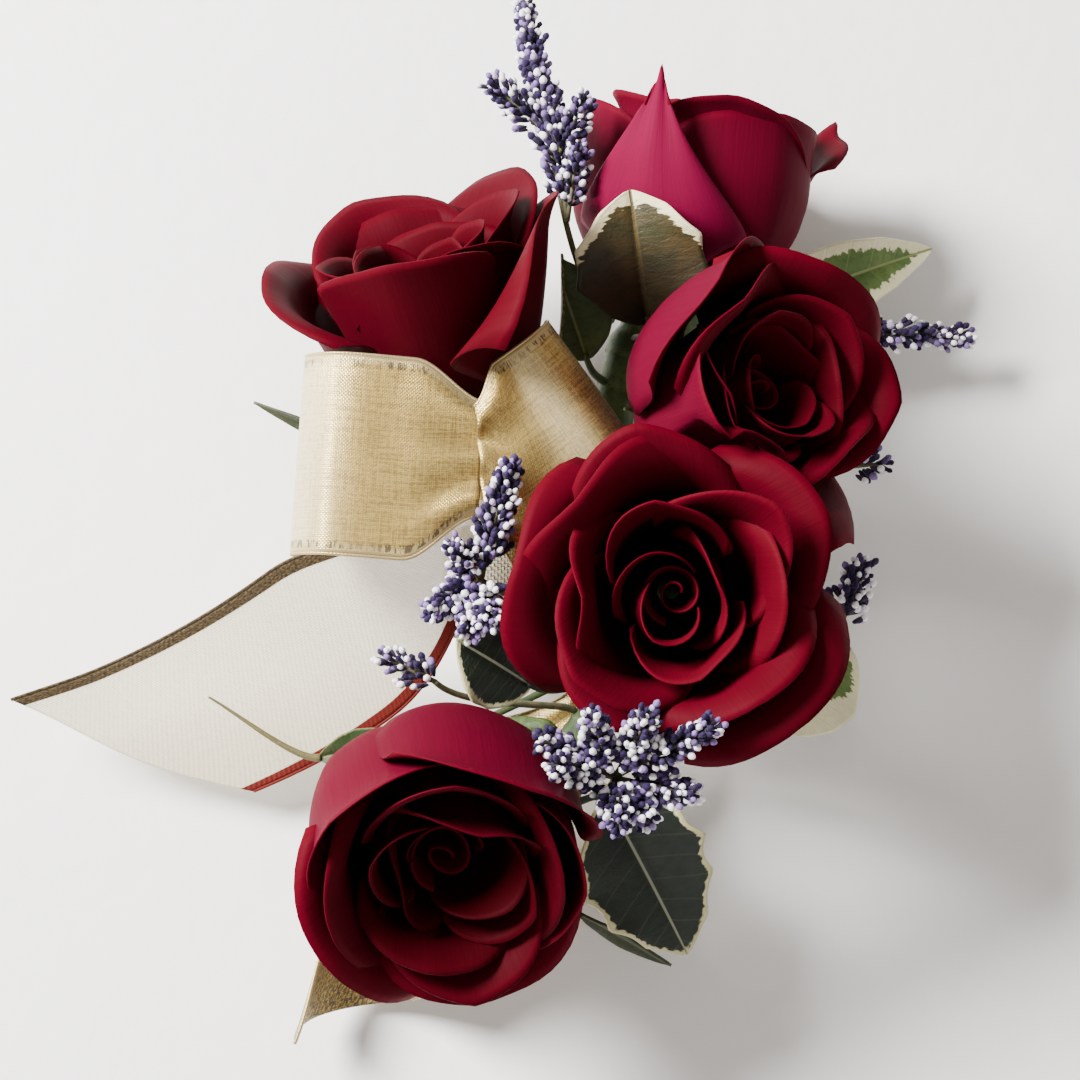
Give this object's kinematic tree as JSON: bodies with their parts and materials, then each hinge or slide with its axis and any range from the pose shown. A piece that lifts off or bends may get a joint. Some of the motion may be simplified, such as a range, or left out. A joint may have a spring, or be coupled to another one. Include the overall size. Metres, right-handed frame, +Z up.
{
  "type": "wrist corsage",
  "caption": "Wrist corsage of red roses with variegated leaves, sea lavender and a wired gold ribbon bow, bound to a taped spine and clipped to a stretch wristband.",
  "frame": {"origin": "middle of the flat underside of the wristband, where it rests on a table", "axes": "+Z up through the flowers, +Y along the spine and the arm towards the top rose, +X to the right as seen from above"},
  "size_m": [0.1806, 0.1918, 0.076],
  "materials": {
    "petal": "velvety, deep crimson",
    "calyx": "matte green with paler edges",
    "floral_tape": "waxed crepe, wound on the slant",
    "florist_wire": "dull green enamel",
    "ribbon": "sheer metallic weave with wired edges",
    "leaf": "waxy, green with a cream margin",
    "sprig": "dry papery lilac and white",
    "clip_metal": "plain stamped sheet",
    "elastic": "ribbed ivory elastic"
  },
  "bodies": {
    "corsage": {"wrist_elastic": "elastic", "clip_plate": "clip_metal", "taped_spine": "floral_tape", "rose_centre_heart": "petal", "rose_centre_inner_petals": "petal", "rose_centre_outer_petals": "petal", "rose_centre_calyx": "calyx", "rose_centre_stem": "floral_tape", "rose_centre_wire": "florist_wire", "bow_loop_left": "ribbon", "bow_loop_right": "ribbon", "bow_knot": "ribbon", "bow_wire": "florist_wire", "leaf_top": "leaf", "leaf_right": "leaf", "leaf_bottom": "leaf", "leaf_side": "leaf", "leaf_dark": "leaf", "leaf_under": "leaf", "leaf_tip": "leaf", "leaf_blade_left": "leaf", "leaf_blade_bottom": "leaf", "sprig_top": "sprig", "sprig_right": "sprig", "sprig_bud": "sprig", "sprig_side": "sprig", "sprig_centre": "sprig", "sprig_low": "sprig", "sprig_small": "sprig"},
    "elastic_lap": {"elastic_seam": "elastic"},
    "tail_left": {"ribbon_tail_left": "ribbon"},
    "tail_bottom": {"ribbon_tail_bottom": "ribbon"},
    "rose_left": {"rose_left_heart": "petal", "rose_left_inner_petals": "petal", "rose_left_outer_petals": "petal", "rose_left_calyx": "calyx", "rose_left_stem": "floral_tape", "rose_left_wire": "florist_wire"},
    "rose_top": {"rose_top_heart": "petal", "rose_top_inner_petals": "petal", "rose_top_outer_petals": "petal", "rose_top_calyx": "calyx", "rose_top_stem": "floral_tape", "rose_top_wire": "florist_wire"},
    "rose_right": {"rose_right_heart": "petal", "rose_right_inner_petals": "petal", "rose_right_outer_petals": "petal", "rose_right_calyx": "calyx", "rose_right_stem": "floral_tape", "rose_right_wire": "florist_wire"},
    "rose_bottom": {"rose_bottom_heart": "petal", "rose_bottom_inner_petals": "petal", "rose_bottom_outer_petals": "petal", "rose_bottom_calyx": "calyx", "rose_bottom_stem": "floral_tape", "rose_bottom_wire": "florist_wire"}
  },
  "joints": [
    {"name": "band_stretch", "type": "slide", "parent": "corsage", "child": "elastic_lap", "axis": [0, 0, -1], "range_m": [0, 0.04], "stiffness_N_per_m": 120, "deforming": ["wrist_elastic"]},
    {"name": "tail_left_swing", "type": "hinge", "parent": "corsage", "child": "tail_left", "pos_m": [-0.0236, 0.0078, 0.046], "axis": [0, 0, 1], "range_deg": [-20, 0]},
    {"name": "tail_bottom_swing", "type": "hinge", "parent": "corsage", "child": "tail_bottom", "pos_m": [-0.003, -0.028, 0.0216], "axis": [0, 0, 1], "range_deg": [-12, 6]},
    {"name": "rose_left_bend", "type": "hinge", "parent": "corsage", "child": "rose_left", "pos_m": [-0.00451, 0.02508, 0.02571], "axis": [-0.9511, -0.3088, 0], "range_deg": [0, 10]},
    {"name": "rose_top_bend", "type": "hinge", "parent": "corsage", "child": "rose_top", "pos_m": [0.00739, 0.03908, 0.02383], "axis": [-0.9878, 0.156, 0], "range_deg": [0, 8]},
    {"name": "rose_right_bend", "type": "hinge", "parent": "corsage", "child": "rose_right", "pos_m": [0.00513, 0.02522, 0.02648], "axis": [0.0569, 0.9984, 0], "range_deg": [0, 10]},
    {"name": "rose_bottom_bend", "type": "hinge", "parent": "corsage", "child": "rose_bottom", "pos_m": [-0.00988, -0.03128, 0.02584], "axis": [0.9685, 0.2491, 0], "range_deg": [0, 10]}
  ]
}
